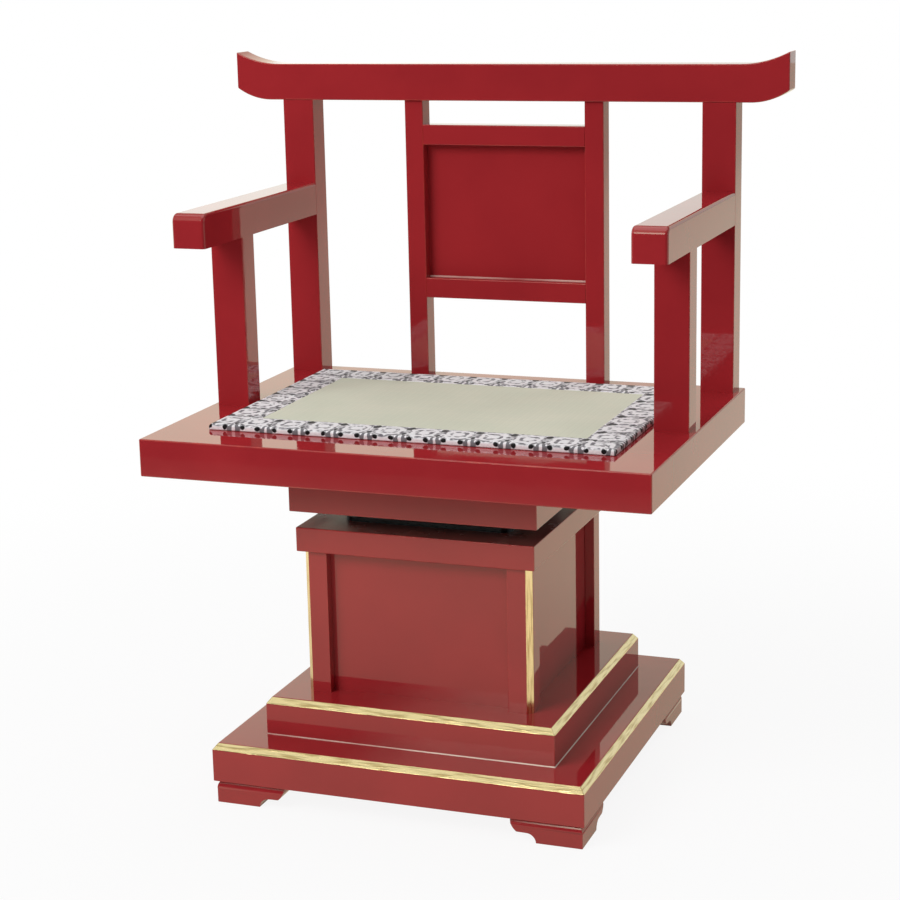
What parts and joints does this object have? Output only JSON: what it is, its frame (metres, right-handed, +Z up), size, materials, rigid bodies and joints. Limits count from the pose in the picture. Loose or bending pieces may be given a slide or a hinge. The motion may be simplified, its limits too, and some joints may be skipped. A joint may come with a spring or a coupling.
{
  "type": "temple chair",
  "caption": "Lacquered temple chair: square-framed armchair with an upswept crest rail, a recessed back panel and a loose rush mat, turning on a stepped pedestal with bracket feet.",
  "frame": {"origin": "on the floor, on the axis that the seat turns about, at the middle of the lower plinth", "axes": "+Z up, the chair faces -Y, +X to the right as seen from the front"},
  "size_m": [0.712, 0.451, 0.8415],
  "materials": {
    "red_lacquer": "deep vermilion lacquer polished to a mirror gloss, gold leaf on the plinth and post chamfers",
    "bearing_steel": "plain zinc-plated steel, slightly dulled",
    "rush": "woven rush, grey-green turning straw",
    "border_cloth": "white cotton tape woven with a black traditional figure"
  },
  "bodies": {
    "base": {"foot_front_left": "red_lacquer", "foot_front_right": "red_lacquer", "foot_rear_left": "red_lacquer", "foot_rear_right": "red_lacquer", "lower_bearing_plate": "bearing_steel", "lower_bearing_screws": "bearing_steel", "lower_plinth_front": "red_lacquer", "lower_plinth_left": "red_lacquer", "lower_plinth_rear": "red_lacquer", "lower_plinth_right": "red_lacquer", "pedestal_cap": "red_lacquer", "pedestal_panel_front": "red_lacquer", "pedestal_panel_left": "red_lacquer", "pedestal_panel_rear": "red_lacquer", "pedestal_panel_right": "red_lacquer", "pedestal_post_front_left": "red_lacquer", "pedestal_post_front_right": "red_lacquer", "pedestal_post_rear_left": "red_lacquer", "pedestal_post_rear_right": "red_lacquer", "pivot_bolt": "bearing_steel", "pivot_nut": "bearing_steel", "pivot_washer": "bearing_steel", "upper_plinth_front": "red_lacquer", "upper_plinth_left": "red_lacquer", "upper_plinth_rear": "red_lacquer", "upper_plinth_right": "red_lacquer"},
    "roller_ring": {"roller_cage": "bearing_steel", "bearing_rollers": "bearing_steel"},
    "seat": {"arm_left": "red_lacquer", "arm_post_left": "red_lacquer", "arm_post_right": "red_lacquer", "arm_right": "red_lacquer", "back_panel": "red_lacquer", "back_stile_left": "red_lacquer", "back_stile_right": "red_lacquer", "crest_rail": "red_lacquer", "mat_border_front": "border_cloth", "mat_border_left": "border_cloth", "mat_border_rear": "border_cloth", "mat_border_right": "border_cloth", "panel_bottom_rail": "red_lacquer", "panel_top_rail": "red_lacquer", "rear_post_left": "red_lacquer", "rear_post_right": "red_lacquer", "seat_bearer_left": "red_lacquer", "seat_bearer_right": "red_lacquer", "seat_front_rail": "red_lacquer", "seat_left_rail": "red_lacquer", "seat_mat": "rush", "seat_panel": "red_lacquer", "seat_rear_rail": "red_lacquer", "seat_right_rail": "red_lacquer", "swivel_block": "red_lacquer", "upper_bearing_plate": "bearing_steel", "upper_bearing_screws": "bearing_steel"}
  },
  "joints": [
    {"name": "seat_swivel", "type": "hinge", "parent": "base", "child": "seat", "pos_m": [0, 0, 0.329], "axis": [0, 0, 1], "continuous": true},
    {"name": "roller_ring_turn", "type": "hinge", "parent": "base", "child": "roller_ring", "pos_m": [0, 0, 0.329], "axis": [0, 0, 1], "continuous": true}
  ],
  "couplings": [
    {"joint": "roller_ring_turn", "follows": "seat_swivel", "ratio": 0.5}
  ]
}
